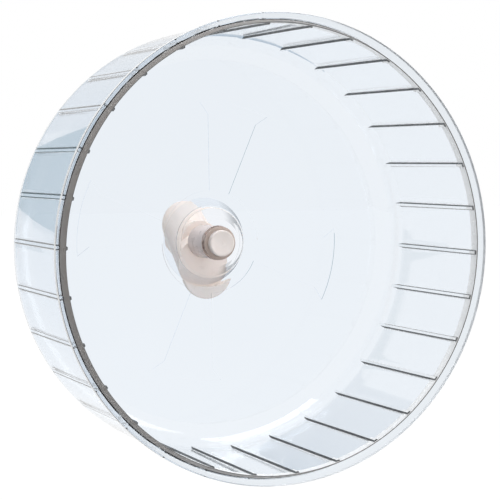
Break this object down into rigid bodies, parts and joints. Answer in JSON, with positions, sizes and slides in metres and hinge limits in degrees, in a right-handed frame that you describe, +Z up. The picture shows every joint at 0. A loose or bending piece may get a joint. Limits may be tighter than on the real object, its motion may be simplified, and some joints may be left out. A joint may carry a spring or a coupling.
{
  "type": "hamster wheel",
  "caption": "Clear drum-shaped running wheel with moulded cross ribs and one closed side, turning on ball bearings in a leaning wall bracket.",
  "frame": {"origin": "middle of the wheel's axis on the flat back of the bracket", "axes": "+Z up, +Y along the axle towards the wall the bracket stands on, the open side of the drum towards -Y, +X to the right seen from the open side"},
  "size_m": [0.14, 0.0793, 0.14],
  "materials": {
    "clear_plastic": "clear moulded polystyrene, glossy",
    "beige_plastic": "moulded beige plastic, semi-gloss",
    "bearing_steel": "ground bearing steel",
    "zinc_plated_steel": "zinc-plated pressed and turned steel",
    "brass_sheet": "pressed brass"
  },
  "bodies": {
    "bracket": {"bracket_housing": "beige_plastic", "bracket_cover": "beige_plastic", "cover_screw": "zinc_plated_steel", "outer_spacer": "zinc_plated_steel", "front_bearing_outer_race": "bearing_steel", "front_bearing_shield_front": "zinc_plated_steel", "front_bearing_shield_back": "zinc_plated_steel", "rear_bearing_outer_race": "bearing_steel", "rear_bearing_shield_front": "zinc_plated_steel", "rear_bearing_shield_back": "zinc_plated_steel"},
    "wheel": {"wheel_drum": "clear_plastic", "axle": "beige_plastic", "hub_spacer": "beige_plastic", "inner_spacer": "zinc_plated_steel", "retaining_washer": "zinc_plated_steel", "retaining_screw": "zinc_plated_steel", "front_bearing_inner_race": "bearing_steel", "rear_bearing_inner_race": "bearing_steel"},
    "front_ball_set": {"front_bearing_cage": "brass_sheet", "front_bearing_ball_1": "bearing_steel", "front_bearing_ball_2": "bearing_steel", "front_bearing_ball_3": "bearing_steel", "front_bearing_ball_4": "bearing_steel", "front_bearing_ball_5": "bearing_steel", "front_bearing_ball_6": "bearing_steel", "front_bearing_ball_7": "bearing_steel", "front_bearing_ball_8": "bearing_steel", "front_bearing_ball_9": "bearing_steel"},
    "rear_ball_set": {"rear_bearing_cage": "brass_sheet", "rear_bearing_ball_1": "bearing_steel", "rear_bearing_ball_2": "bearing_steel", "rear_bearing_ball_3": "bearing_steel", "rear_bearing_ball_4": "bearing_steel", "rear_bearing_ball_5": "bearing_steel", "rear_bearing_ball_6": "bearing_steel", "rear_bearing_ball_7": "bearing_steel", "rear_bearing_ball_8": "bearing_steel", "rear_bearing_ball_9": "bearing_steel"}
  },
  "joints": [
    {"name": "wheel_spin", "type": "hinge", "parent": "bracket", "child": "wheel", "pos_m": [0, -0.03, 0], "axis": [0, -1, 0], "continuous": true},
    {"name": "front_ball_roll", "type": "hinge", "parent": "bracket", "child": "front_ball_set", "pos_m": [0, -0.0118, 0], "axis": [0, -1, 0], "continuous": true},
    {"name": "rear_ball_roll", "type": "hinge", "parent": "bracket", "child": "rear_ball_set", "pos_m": [0, -0.0063, 0], "axis": [0, -1, 0], "continuous": true}
  ],
  "couplings": [
    {"joint": "front_ball_roll", "follows": "wheel_spin", "ratio": 0.40125},
    {"joint": "rear_ball_roll", "follows": "wheel_spin", "ratio": 0.40125}
  ]
}
